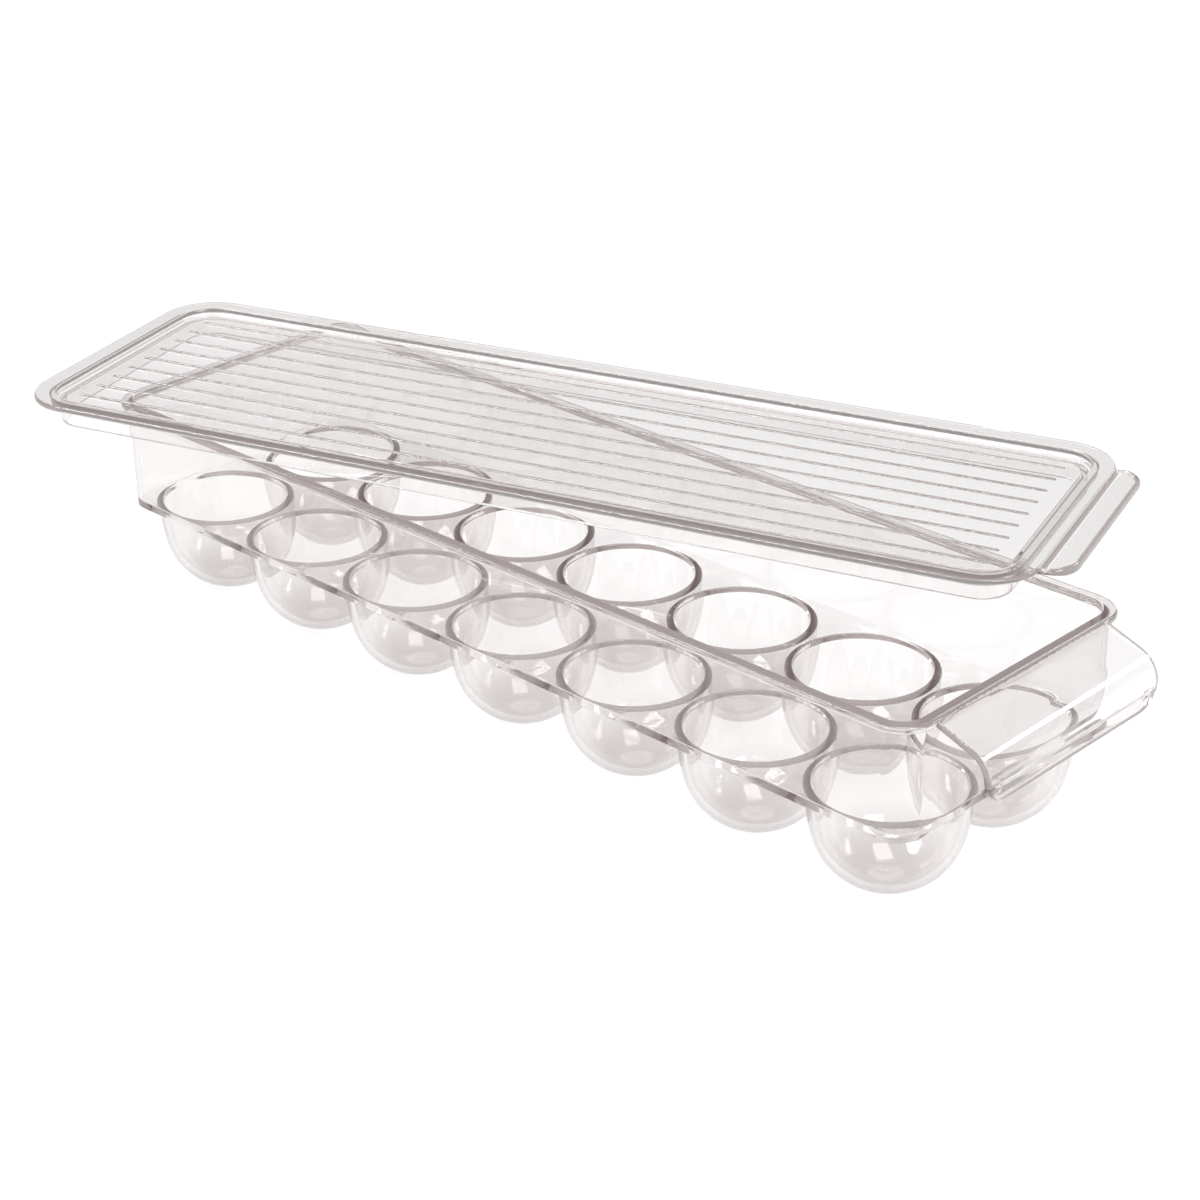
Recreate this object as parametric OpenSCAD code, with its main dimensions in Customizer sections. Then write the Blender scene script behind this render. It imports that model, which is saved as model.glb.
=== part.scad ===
// Refrigerator egg keeper: a clear two-row tray with fourteen cups and a scoop handle,
// and a loose ribbed lid that lies turned across the tray's rim.
// Millimetres. The origin is the centre of the cup array on the plane the cups stand on.
// +X points along the tray towards the handle, +Y across the tray, +Z up.

/* [Egg cups] */
// Height of the cups, from the standing plane to the underside of the floor
cup_depth = 31; // [27:0.5:38]
// Outside radius of a cup where it joins the floor
cup_radius = 24.5; // [20:0.25:27]
// Gap between neighbouring cups, both ways
cup_gap = 1; // [0.6:0.1:6]
// How much smaller than the cup's own radius the round bottom is
cup_fullness = 1; // [0.6:0.1:3]
// Radius of the small flat foot under each cup
cup_foot_radius = 6; // [4:0.5:8]
// Thickness of the cup's shell
cup_wall = 2.4; // [2.2:0.1:3]
// Widening of each hole's edge at the top of the floor
hole_flare = 0.3; // [0.2:0.1:0.4]

/* [Tray] */
// Thickness of the floor that joins the cups
floor_thickness = 2.5; // [1.6:0.1:4]
// Height of the wall, from the top of the floor to the top of the rim
wall_height = 36.4; // [24:0.2:60]
// Thickness of the wall
wall_thickness = 1.9; // [1.4:0.1:1.9]
// Distance from the side of a cup to the outside of the long wall
side_ledge = 1.4; // [0.1:0.1:9]
// Distance from the side of an end cup to the outside of the end wall
end_ledge = 0.1; // [0.1:0.1:9]
// Radius of the tray's corners, on the outside of the wall
wall_corner = 8.8; // [7:0.1:20]
// Radius of the rounded edge under the wall
wall_foot_round = 1.2; // [0.6:0.1:1.8]
// How far the rim stands out from the wall
rim_overhang = 2.6; // [2:0.1:6]
// Thickness of the rim
rim_height = 2.4; // [1.8:0.1:4]
// Radius of the rim's rounded edges
rim_round = 0.9; // [0.4:0.1:0.9]

/* [Scoop handle] */
// Width of the handle across the tray
handle_width = 82; // [60:1:84]
// How far the handle reaches out from the rim
handle_reach = 18.5; // [15:0.1:26]
// How far the handle hangs below the top of the rim
handle_drop = 21.2; // [18:0.2:32]
// Thickness of the handle's sheet
handle_thickness = 2.3; // [1.8:0.1:2.3]
// Slope of the handle's upper face, in degrees
handle_slope = 20; // [15:1:26]
// Outside radius of the bend between the slope and the hanging face
handle_bend = 10; // [7:0.5:10]
// Radius of the handle's lower corners
handle_corner = 8.5; // [5:0.5:13]
// Height of the thickened lip along the handle's lower edge
handle_lip_height = 4.6; // [3:0.2:4.8]
// Depth that the lip adds behind the handle
handle_lip_depth = 1.6; // [1:0.1:3]

/* [Lid] */
// How far the lid's rim reaches beyond the tray's rim
lid_overhang = 2.7; // [1:0.1:5]
// Width of the raised rim round the lid
lid_rim_width = 7.45; // [6:0.05:9]
// Height of the raised rim above the panel
lid_rim_rise = 2.4; // [2.2:0.1:4]
// Thickness of the lid's rim and of the wall under it
lid_rim_thickness = 2; // [1.6:0.1:2.2]
// Radius of the lid's outer corners
lid_corner = 19; // [17:0.5:24]
// Thickness of the lid's panel
panel_thickness = 2.2; // [1.6:0.1:3]
// Distance from the top of the panel to the lower edge of the skirt
skirt_depth = 8.3; // [7:0.1:14]
// Thickness of the skirt
skirt_thickness = 1.8; // [1.4:0.1:2.6]
// Play between the skirt and the tray's wall when the lid is on
skirt_clearance = 1.4; // [0.5:0.1:2.5]

/* [Lid ribs] */
// Number of ribs along the panel
rib_count = 9; // [3:2:9]
// Distance between neighbouring ribs
rib_pitch = 9.6; // [6:0.1:10]
// Width of a rib
rib_width = 1.5; // [1.2:0.1:3]
// Height of a rib above the panel
rib_height = 0.6; // [0.5:0.1:1]
// Distance from a rib's end to the raised rim
rib_inset = 8.5; // [4:0.5:30]

/* [Pull tab] */
// Width of the tab across the lid
tab_width = 82; // [40:1:84]
// How far the tab reaches beyond the lid's rim
tab_reach = 10.1; // [10:0.1:20]
// Radius of the tab's outer corners
tab_corner = 9.8; // [4:0.1:9.8]
// Width of the groove along the tab's root
groove_width = 3.6; // [2:0.1:4]
// Depth of the groove
groove_depth = 1; // [0.4:0.1:1]
// Width of the bead along the tab's outer edge
bead_width = 2; // [1.4:0.1:3]
// Height that the bead stands above and below the tab
bead_rise = 0.6; // [0.3:0.1:1.2]

/* [Lid position] */
// Turn of the lid across the tray, in degrees
lid_turn = 18; // [15:0.5:22]
// Shift of the lid along the tray
lid_shift_x = -29; // [-40:1:0]
// Shift of the lid across the tray
lid_shift_y = 20; // [0:1:22]

/* [Hidden] */
$fn = 72;
cup_columns = 7;
cup_rows = 2;
cup_pitch = 2 * cup_radius + cup_gap;
side_margin = cup_radius + side_ledge;
end_margin = cup_radius + end_ledge;

floor_bottom = cup_depth;
floor_top = floor_bottom + floor_thickness;
rim_top = floor_top + wall_height;
rim_bottom = rim_top - rim_height;

// Half sizes of the outline, given as [along, across], and its corner radius
wall_out = [(cup_columns - 1) / 2 * cup_pitch + end_margin, (cup_rows - 1) / 2 * cup_pitch + side_margin];
wall_in = [wall_out.x - wall_thickness, wall_out.y - wall_thickness];
wall_in_corner = wall_corner - wall_thickness;
rim_width = wall_thickness + rim_overhang;
rim_out = [wall_out.x + rim_overhang, wall_out.y + rim_overhang];

// A cup's section: a round bottom and a fuller arc above it that meets it without a corner
bottom_radius = cup_radius - cup_fullness;
bottom_centre = sqrt(pow(bottom_radius, 2) - pow(cup_foot_radius, 2));
arc_drop = cup_depth - bottom_centre;
side_radius = (pow(cup_radius, 2) + pow(arc_drop, 2) - pow(bottom_radius, 2)) / (2 * cup_fullness);
side_centre = cup_radius - side_radius;
// Height where the two arcs meet, when both are moved in by the given distance
function meet_height(inset) = cup_depth - (side_radius - inset) * arc_drop / (side_radius - bottom_radius);
hole_radius = cup_radius - cup_wall;
// Height of the small flat floor inside a cup
inner_floor = 1.8;

// The handle's section
handle_x0 = rim_out.x;
handle_x1 = handle_x0 + handle_reach;
handle_z0 = rim_top - 0.3;
bend_x = handle_x1 - handle_bend;
bend_start_x = bend_x + handle_bend * sin(handle_slope);
bend_start_z = handle_z0 - (bend_start_x - handle_x0) * tan(handle_slope);
bend_z = bend_start_z - handle_bend * cos(handle_slope);
handle_bottom = rim_top - handle_drop;

// The lid in its own place: the top of the panel is at zero
lid_out = [rim_out.x + lid_overhang, rim_out.y + lid_overhang];
panel_half = [lid_out.x - lid_rim_width, lid_out.y - lid_rim_width];
panel_corner = lid_corner - lid_rim_width;
skirt_out = [wall_in.x - skirt_clearance, wall_in.y - skirt_clearance];
skirt_corner = panel_corner - (panel_half.x - skirt_out.x);
skirt_in = [skirt_out.x - skirt_thickness, skirt_out.y - skirt_thickness];
lid_height = rim_top + skirt_depth;
tab_x0 = lid_out.x;
tab_x1 = lid_out.x + tab_reach;
tab_top = lid_rim_rise;
tab_bottom = lid_rim_rise - lid_rim_thickness;
groove_x0 = lid_out.x - 0.4;

// 2-D shapes

// A rectangle with round corners, centred on the origin
module round_outline(half, r) {
  square([2 * half.x, 2 * (half.y - r)], center = true);
  square([2 * (half.x - r), 2 * half.y], center = true);
  for (sx = [-1, 1], sy = [-1, 1])
    translate([sx * (half.x - r), sy * (half.y - r)])
      circle(r);
}

// A rectangle from the origin with its corners rounded one by one:
// lower left, lower right, upper right, upper left
module soft_square(w, h, r) {
  difference() {
    square([w, h]);
    if (r[0] > 0)
      difference() {
        square(r[0]);
        translate([r[0], r[0]]) circle(r[0]);
      }
    if (r[1] > 0)
      translate([w - r[1], 0])
        difference() {
          square(r[1]);
          translate([0, r[1]]) circle(r[1]);
        }
    if (r[2] > 0)
      translate([w - r[2], h - r[2]])
        difference() {
          square(r[2]);
          circle(r[2]);
        }
    if (r[3] > 0)
      translate([0, h - r[3]])
        difference() {
          square(r[3]);
          translate([r[3], 0]) circle(r[3]);
        }
  }
}

// Sweeps a section round an outline. The section's x is measured outwards from the outline.
module ring(half, r) {
  for (a = [0 : 3]) {
    across = a % 2 == 0 ? half.x : half.y;
    along = a % 2 == 0 ? half.y : half.x;
    rotate([0, 0, 90 * a]) {
      translate([across, 0, 0])
        rotate([90, 0, 0])
          linear_extrude(height = 2 * (along - r), center = true)
            children();
      translate([across - r, along - r, 0])
        rotate_extrude(angle = 90)
          translate([r, 0])
            children();
    }
  }
}

// The tray

// Half of a cup's outline above the given height, moved in by the given distance
module cup_side(inset, lowest) {
  meet = meet_height(inset);
  intersection() {
    translate([0, bottom_centre]) circle(bottom_radius - inset);
    translate([0, lowest]) square([cup_radius, meet - lowest]);
  }
  intersection() {
    translate([side_centre, cup_depth]) circle(side_radius - inset);
    translate([0, meet]) square([cup_radius, cup_depth - meet]);
  }
}

module cup_shell() {
  rotate_extrude()
    difference() {
      cup_side(0, 0);
      cup_side(cup_wall, inner_floor);
    }
}

// Cups 1 to 7 stand in the near row, 8 to 14 in the far row, counted towards the handle
function cup_place(i) = [
  ((i - 1) % cup_columns - (cup_columns - 1) / 2) * cup_pitch,
  (floor((i - 1) / cup_columns) - (cup_rows - 1) / 2) * cup_pitch,
  0
];

module egg_cup(i) {
  color([0.90, 0.88, 0.90, 0.45])
    translate(cup_place(i))
      cup_shell();
}

module tray_floor() {
  color([0.86, 0.86, 0.89, 0.45])
    difference() {
      translate([0, 0, floor_bottom])
        linear_extrude(height = floor_thickness)
          round_outline(wall_in, wall_in_corner);
      for (i = [1 : cup_columns * cup_rows])
        translate([cup_place(i).x, cup_place(i).y, floor_bottom])
          rotate_extrude()
            polygon([
              [0, 0],
              [hole_radius, 0],
              [hole_radius, floor_thickness / 2],
              [hole_radius + hole_flare, floor_thickness],
              [0, floor_thickness]
            ]);
    }
}

module tray_wall() {
  color([0.82, 0.86, 0.91, 0.45])
    ring(wall_in, wall_in_corner)
      translate([0, floor_bottom])
        soft_square(wall_thickness, rim_bottom - floor_bottom, [0, wall_foot_round, 0, 0]);
}

module tray_rim() {
  color([0.78, 0.74, 0.78, 0.55])
    ring(wall_in, wall_in_corner)
      translate([0, rim_bottom])
        soft_square(rim_width, rim_height, [0, rim_round, rim_round, rim_round]);
}

// A point in the middle of the sheet, the given angle round the bend from its lower end
function bend_point(a) = [
  bend_x + (handle_bend - handle_thickness / 2) * cos(a),
  bend_z + (handle_bend - handle_thickness / 2) * sin(a)
];

// Draws a section across the handle at full width
module across_handle() {
  rotate([90, 0, 0])
    linear_extrude(height = handle_width, center = true)
      children();
}

// The handle's sheet at full width: a slope from the rim, a bend and a hanging face.
// The slope and the face each end in a tip that runs into the bend.
module handle_sheet() {
  inner_x = bend_start_x - handle_thickness * sin(handle_slope);
  inner_z = bend_start_z - handle_thickness * cos(handle_slope);
  across_handle()
    polygon([
      [handle_x0, handle_z0],
      [handle_x0, inner_z + (inner_x - handle_x0) * tan(handle_slope)],
      [inner_x, inner_z],
      bend_point(78 - handle_slope),
      [bend_start_x, bend_start_z]
    ]);
  translate([bend_x, handle_width / 2, bend_z])
    rotate([90, 0, 0])
      rotate_extrude(angle = 90 - handle_slope)
        translate([handle_bend - handle_thickness, 0])
          square([handle_thickness, handle_width]);
  across_handle()
    polygon([
      [handle_x1, handle_bottom],
      [handle_x1, bend_z],
      bend_point(12),
      [handle_x1 - handle_thickness, bend_z],
      [handle_x1 - handle_thickness, handle_bottom]
    ]);
}

// The handle seen from the front, with round lower corners
module handle_outline() {
  translate([-handle_width / 2, handle_bottom])
    soft_square(handle_width, rim_top - handle_bottom, [handle_corner, handle_corner, 0, 0]);
}

module scoop_handle() {
  color([0.84, 0.87, 0.90, 0.45])
    intersection() {
      handle_sheet();
      translate([handle_x0 - 1, 0, 0])
        rotate([90, 0, 90])
          linear_extrude(height = handle_reach + 2)
            handle_outline();
    }
}

module handle_lip() {
  color([0.74, 0.72, 0.76, 0.6])
    translate([handle_x1 - handle_thickness - handle_lip_depth, 0, 0])
      rotate([90, 0, 90])
        linear_extrude(height = handle_lip_depth)
          intersection() {
            handle_outline();
            translate([-handle_width / 2, handle_bottom]) square([handle_width, handle_lip_height]);
          }
}

// The lid

module place_lid() {
  translate([lid_shift_x, lid_shift_y, lid_height])
    rotate([0, 0, lid_turn])
      children();
}

module lid_panel() {
  color([0.88, 0.88, 0.90, 0.4])
    place_lid()
      translate([0, 0, -panel_thickness])
        linear_extrude(height = panel_thickness)
          round_outline(panel_half, panel_corner);
}

// A rib's section: a low arc on the panel
rib_arc = (pow(rib_width / 2, 2) + pow(rib_height, 2)) / (2 * rib_height);

module rib_section() {
  intersection() {
    translate([0, rib_height - rib_arc]) circle(rib_arc);
    translate([-rib_width / 2, 0]) square([rib_width, rib_height]);
  }
}

module lid_ribs() {
  length = 2 * (panel_half.x - rib_inset) - rib_width;
  color([0.95, 0.95, 0.97, 0.6])
    place_lid()
      for (i = [0 : rib_count - 1])
        translate([0, (i - (rib_count - 1) / 2) * rib_pitch, 0]) {
          rotate([90, 0, 90])
            linear_extrude(height = length, center = true)
              rib_section();
          for (s = [-1, 1])
            translate([s * length / 2, 0, 0])
              rotate([0, 0, -90 * s])
                rotate_extrude(angle = 180)
                  intersection() {
                    rib_section();
                    square([rib_width, rib_height]);
                  }
        }
}

module lid_rim() {
  color([0.80, 0.76, 0.80, 0.55])
    place_lid()
      ring(panel_half, panel_corner)
        union() {
          translate([0, tab_bottom])
            soft_square(lid_rim_width, lid_rim_thickness, [0, 0.8, 0.8, 0.6]);
          translate([0, -panel_thickness])
            square([lid_rim_thickness, panel_thickness + tab_bottom]);
        }
}

module lid_skirt() {
  color([0.86, 0.86, 0.89, 0.45])
    place_lid()
      ring(skirt_in, skirt_corner - skirt_thickness)
        translate([0, -skirt_depth])
          soft_square(skirt_thickness, skirt_depth - panel_thickness, [0, 0.5, 0, 0]);
}

// The tab seen from above
module tab_outline() {
  translate([tab_x0, -tab_width / 2])
    soft_square(tab_reach, tab_width, [0, tab_corner, tab_corner, 0]);
}

module pull_tab() {
  color([0.80, 0.76, 0.80, 0.5])
    place_lid()
      difference() {
        translate([0, 0, tab_bottom])
          linear_extrude(height = lid_rim_thickness)
            difference() {
              tab_outline();
              translate([tab_x1 - bead_width, -tab_width / 2])
                square([bead_width, tab_width]);
            }
        translate([groove_x0, -tab_width / 2 - 1, tab_top - groove_depth])
          cube([groove_width, tab_width + 2, groove_depth + 1]);
      }
}

module tab_bead() {
  color([0.72, 0.68, 0.72, 0.6])
    place_lid()
      translate([0, 0, tab_bottom - bead_rise])
        linear_extrude(height = lid_rim_thickness + 2 * bead_rise)
          intersection() {
            tab_outline();
            translate([tab_x1 - bead_width, -tab_width / 2])
              square([bead_width, tab_width]);
          }
}

tray_floor();
egg_cup(1);  // egg_cup_01
egg_cup(2);  // egg_cup_02
egg_cup(3);  // egg_cup_03
egg_cup(4);  // egg_cup_04
egg_cup(5);  // egg_cup_05
egg_cup(6);  // egg_cup_06
egg_cup(7);  // egg_cup_07
egg_cup(8);  // egg_cup_08
egg_cup(9);  // egg_cup_09
egg_cup(10);  // egg_cup_10
egg_cup(11);  // egg_cup_11
egg_cup(12);  // egg_cup_12
egg_cup(13);  // egg_cup_13
egg_cup(14);  // egg_cup_14
tray_wall();
tray_rim();
scoop_handle();
handle_lip();
lid_panel();
lid_ribs();
lid_rim();
lid_skirt();
pull_tab();
tab_bead();
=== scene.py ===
"""A clear refrigerator egg keeper: a tray with fourteen cups and a scoop handle, and a loose ribbed lid."""

import math

import bmesh
import bpy
from mathutils import Matrix, Vector


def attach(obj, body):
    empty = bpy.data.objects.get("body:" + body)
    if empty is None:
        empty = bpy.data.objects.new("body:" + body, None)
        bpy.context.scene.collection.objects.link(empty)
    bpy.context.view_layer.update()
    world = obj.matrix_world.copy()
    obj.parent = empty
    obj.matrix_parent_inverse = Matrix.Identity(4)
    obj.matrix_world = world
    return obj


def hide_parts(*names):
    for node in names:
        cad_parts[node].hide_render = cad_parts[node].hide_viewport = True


bl_info = {
    "name": "Egg Keeper",
    "version": (1, 0, 0),
    "blender": (4, 5, 0),
    "location": "3D Viewport > Sidebar > Egg Keeper",
    "description": "Builds a clear egg keeper with a loose lid on a white studio floor",
    "category": "Object",
}

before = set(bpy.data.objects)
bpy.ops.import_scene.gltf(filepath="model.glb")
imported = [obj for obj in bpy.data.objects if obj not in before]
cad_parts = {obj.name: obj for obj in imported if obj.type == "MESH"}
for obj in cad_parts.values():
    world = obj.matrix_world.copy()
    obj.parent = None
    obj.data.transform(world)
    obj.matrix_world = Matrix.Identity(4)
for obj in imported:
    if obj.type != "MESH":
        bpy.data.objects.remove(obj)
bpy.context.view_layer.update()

MM = 0.001
COLUMNS = 7
CUP_NODES = ["egg_cup_%02d" % cup for cup in range(1, 15)]
TRAY_NODES = ["tray_floor", *CUP_NODES, "tray_wall", "tray_rim", "scoop_handle", "handle_lip"]
LID_NODES = ["lid_panel", "lid_ribs", "lid_rim", "lid_skirt", "pull_tab", "tab_bead"]
RIB_COUNT = 9

# small radii, in millimetres: the fillet along the floor's edge, the round foot of the wall,
# and the soft edges of the handle and the tab
FLOOR_FILLET = 0.8
WALL_FOOT = 1.2
EDGE_SOFT = 0.75

# heights between which the painted shade of a rim sets in, in millimetres: from the top of the tray's rim,
# and from the top of the lid's panel
TRAY_PAINTED_SHADE = (-1.4, -0.5)
LID_PAINTED_SHADE = (0.8, 1.8)

# the slow waves of the surfaces: how close together they are, and their depth in metres
TRAY_WAVES = (28.0, 0.0002)
LID_WAVES = (22.0, 0.0001)

WHITE = (1.0, 1.0, 1.0, 1.0)


# ---------------------------------------------------------------- settings


def length(name, description, default_mm, low=0.0, high=500.0):
    """A length property whose values are given in millimetres."""
    return bpy.props.FloatProperty(
        name=name, description=description, default=default_mm * MM, min=low * MM, max=high * MM,
        unit="LENGTH", subtype="DISTANCE", precision=5)


def degrees(name, description, default, low=-360.0, high=360.0):
    """An angle property whose values are given in degrees."""
    return bpy.props.FloatProperty(
        name=name, description=description, default=math.radians(default), min=math.radians(low),
        max=math.radians(high), unit="ROTATION", subtype="ANGLE")


def number(name, description, default, low, high, unit="NONE"):
    """A number property."""
    return bpy.props.FloatProperty(
        name=name, description=description, default=default, min=low, max=high, unit=unit)


def colour(name, description, default):
    """A colour property."""
    return bpy.props.FloatVectorProperty(
        name=name, description=description, default=default, size=3, min=0.0, max=1.0, subtype="COLOR")


class TraySettings(bpy.types.PropertyGroup):
    """Sizes of the tray with its cups"""

    pitch: length("Cup pitch", "Distance between the centres of neighbouring cups", 50.0)
    cup_radius: length("Cup radius", "Outside radius of a cup at the floor", 24.5)
    cup_fullness: length("Cup fullness", "How much smaller than the cup's radius its round bottom is", 1.0)
    cup_wall: length("Cup wall", "Thickness of a cup's shell", 2.4)
    foot_radius: length("Foot radius", "Radius of the flat foot under a cup", 6.0)
    floor_bottom: length("Cup depth", "Height of the underside of the floor", 31.0)
    floor_top: length("Floor top", "Height of the top of the floor", 33.5)
    rim_top: length("Rim top", "Height of the top of the rim", 69.9)
    rim_height: length("Rim height", "Thickness of the rim", 2.4)
    rim_width: length("Rim width", "Width of the rim from the inside of the wall", 4.5)
    rim_round: length("Rim rounding", "Radius of the rim's edges", 0.9)
    wall: length("Wall", "Thickness of the wall", 1.9)
    half_length: length("Half length", "Half the tray's length inside the wall", 172.7)
    half_width: length("Half width", "Half the tray's width inside the wall", 49.0)
    corner: length("Corner", "Radius of the corners inside the wall", 6.9)
    lip_round: length("Hole rounding", "Radius of the round edge of each cup's hole", 0.4)


class HandleSettings(bpy.types.PropertyGroup):
    """Sizes of the scoop handle"""

    width: length("Width", "Width across the tray", 82.0)
    reach: length("Reach", "How far it reaches out from the rim", 18.5)
    drop: length("Drop", "How far it hangs below the top of the rim", 21.2)
    thickness: length("Thickness", "Thickness of the sheet", 2.3)
    bend: length("Bend", "Outside radius of the bend", 10.0)
    corner: length("Corner", "Radius of the lower corners", 8.5)
    lip_height: length("Lip height", "Height of the thickened lip", 4.6)
    lip_depth: length("Lip depth", "Depth that the lip adds behind", 1.6)
    slope: degrees("Slope", "Slope of the upper face", 20.0, 6.0, 68.0)


class LidSettings(bpy.types.PropertyGroup):
    """Sizes and place of the lid"""

    half_length: length("Half length", "Half the panel's length inside the raised rim", 172.45)
    half_width: length("Half width", "Half the panel's width inside the raised rim", 48.75)
    corner: length("Corner", "Radius of the panel's corners", 11.55)
    rim_width: length("Rim width", "Width of the raised rim", 7.45)
    rim_rise: length("Rim rise", "Height of the rim above the panel", 2.4)
    rim_thickness: length("Rim thickness", "Thickness of the rim", 2.0)
    panel: length("Panel thickness", "Thickness of the panel", 2.2)
    skirt_depth: length("Skirt depth", "From the top of the panel to the skirt's lower edge", 8.3)
    skirt_inset: length("Skirt inset", "From the panel's edge in to the skirt's outer face", 1.15)
    skirt_thickness: length("Skirt thickness", "Thickness of the skirt", 1.8)
    rib_pitch: length("Rib pitch", "Distance between neighbouring ribs", 9.6)
    rib_width: length("Rib width", "Width of a rib", 1.5)
    rib_height: length("Rib height", "Height of a rib above the panel", 0.6)
    rib_inset: length("Rib inset", "From a rib's end to the raised rim", 8.5)
    tab_reach: length("Tab reach", "How far the pull tab reaches beyond the rim", 10.1)
    tab_root: length("Tab root width", "Width of the tab where it meets the rim", 82.0)
    tab_width: length("Tab width", "Width of the tab along its outer edge, before its round corners", 82.0)
    tab_corner: length("Tab corner", "Radius of the tab's outer corners", 9.8)
    shift_x: length("Shift along", "Shift of the lid along the tray", -29.0, -100.0, 100.0)
    shift_y: length("Shift across", "Shift of the lid across the tray", 20.0, -100.0, 100.0)
    turn: degrees("Turn", "Turn of the lid across the tray", 18.0)


class PlasticSettings(bpy.types.PropertyGroup):
    """Looks of the clear plastic"""

    tint: colour("Tint", "Colour that light takes on in a long way through it", (0.52, 0.44, 0.43))
    density: number("Tint density", "How fast the tint builds up, per metre", 48.0, 0.0, 500.0)
    # painted glow: light that stays inside the plastic past the edge depth ends in this colour, emitted by
    # the surface
    edge: colour("Painted edge glow", "Colour of light that was caught in it for long", (0.65, 0.61, 0.605))
    depth: number("Edge depth", "Turns inside it after which light counts as caught", 2.5, 0.5, 64.0)
    # painted shade: the rims' colour darkens towards these colours between two heights near their tops
    tray_rim: colour("Tray rim painted shade", "Colour of light past the top of the tray's rim", (0.82, 0.79, 0.785))
    lid_rim: colour("Lid rim painted shade", "Colour of light past the top of the lid's rim", (0.87, 0.85, 0.845))
    # painted shade: the cups' colour darkens towards this colour close to the floor, fully below the base
    # height
    foot: colour("Painted foot shade", "Colour of light past the cups close to the floor", (0.72, 0.69, 0.69))
    painted_foot_shade_top: length("Painted foot shade height", "Height at which the foot shade ends", 15.0)
    painted_foot_shade_full: length("Painted foot shade base", "Height at which the foot shade is full", 1.0)
    # painted shade: the colour darkens towards this colour where the surface is seen at a grazing angle
    grazing: colour("Painted grazing shade", "Colour of light that leaves at a grazing angle", (0.61, 0.575, 0.57))
    shadow: colour("Shadow tint", "Colour that one surface gives to the shadow", (0.93, 0.92, 0.92))
    ior: number("Refractive index", "Refractive index of the plastic", 1.57, 1.0, 2.0)
    roughness: number("Roughness", "Roughness of a clean surface", 0.012, 0.0, 1.0)
    marks: number("Marks", "Roughness that the hairline marks add", 0.03, 0.0, 1.0)
    mark_size: number("Mark density", "How close together the hairline marks are", 1400.0, 1.0, 5000.0)


class StageSettings(bpy.types.PropertyGroup):
    """The floor, the lamps and the camera"""

    floor_size: length("Floor size", "Half the side of the floor", 6000.0, 0.0, 20000.0)
    floor_colour: colour("Floor colour", "Colour of the floor", (0.93, 0.93, 0.93))
    floor_glow: number("Floor glow", "Strength of the white glow that the floor is seen with", 1.03, 0.0, 2.0)
    glow_share: number("Glow share", "Share of the glow in what is seen of the floor", 0.82, 0.0, 1.0)
    lens: number("Lens", "Focal length of the camera, in millimetres", 80.14, 10.0, 300.0, "CAMERA")
    azimuth: degrees("Azimuth", "Direction of the camera round the keeper", 44.16)
    elevation: degrees("Elevation", "Height angle of the camera", 26.36)
    roll: degrees("Roll", "Tilt of the picture", -0.786)
    place: bpy.props.FloatVectorProperty(
        name="Camera place", description="Where the camera stands", default=(0.554275, -0.560016, 0.422441),
        size=3, unit="LENGTH", subtype="TRANSLATION")


# ---------------------------------------------------------------- shapes


def arc(centre, radius, start, end, steps):
    """Points on an arc, in degrees from start to end, both ends included."""
    points = []
    for step in range(steps + 1):
        angle = math.radians(start + (end - start) * step / steps)
        points.append((centre[0] + radius * math.cos(angle), centre[1] + radius * math.sin(angle)))
    return points


def outline_points(half_x, half_y, corner, side_x, side_y, steps):
    """A rounded rectangle as (x, y, nx, ny), counter-clockwise from the near side's left end.

    side_x and side_y are the places along the straight sides."""
    points = []

    def straight(values, fixed, along_x, normal):
        points.extend((value, fixed, *normal) if along_x else (fixed, value, *normal) for value in values)

    def bend(centre_x, centre_y, start):
        for step in range(1, steps):
            angle = math.radians(start + 90 * step / steps)
            normal = (math.cos(angle), math.sin(angle))
            points.append((centre_x + corner * normal[0], centre_y + corner * normal[1], *normal))

    straight(side_x, -half_y, True, (0, -1))
    bend(half_x - corner, corner - half_y, -90)
    straight(side_y, half_x, False, (1, 0))
    bend(half_x - corner, half_y - corner, 0)
    straight(side_x[::-1], half_y, True, (0, 1))
    bend(corner - half_x, half_y - corner, 90)
    straight(side_y[::-1], -half_x, False, (-1, 0))
    bend(corner - half_x, corner - half_y, 180)
    return points


def inside_distance(x, y, half_x, half_y, corner):
    """How far inside a rounded rectangle's edge a point lies."""
    dx = abs(x) - (half_x - corner)
    dy = abs(y) - (half_y - corner)
    outside = math.hypot(max(dx, 0.0), max(dy, 0.0))
    return corner - outside - min(max(dx, dy), 0.0)


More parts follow.
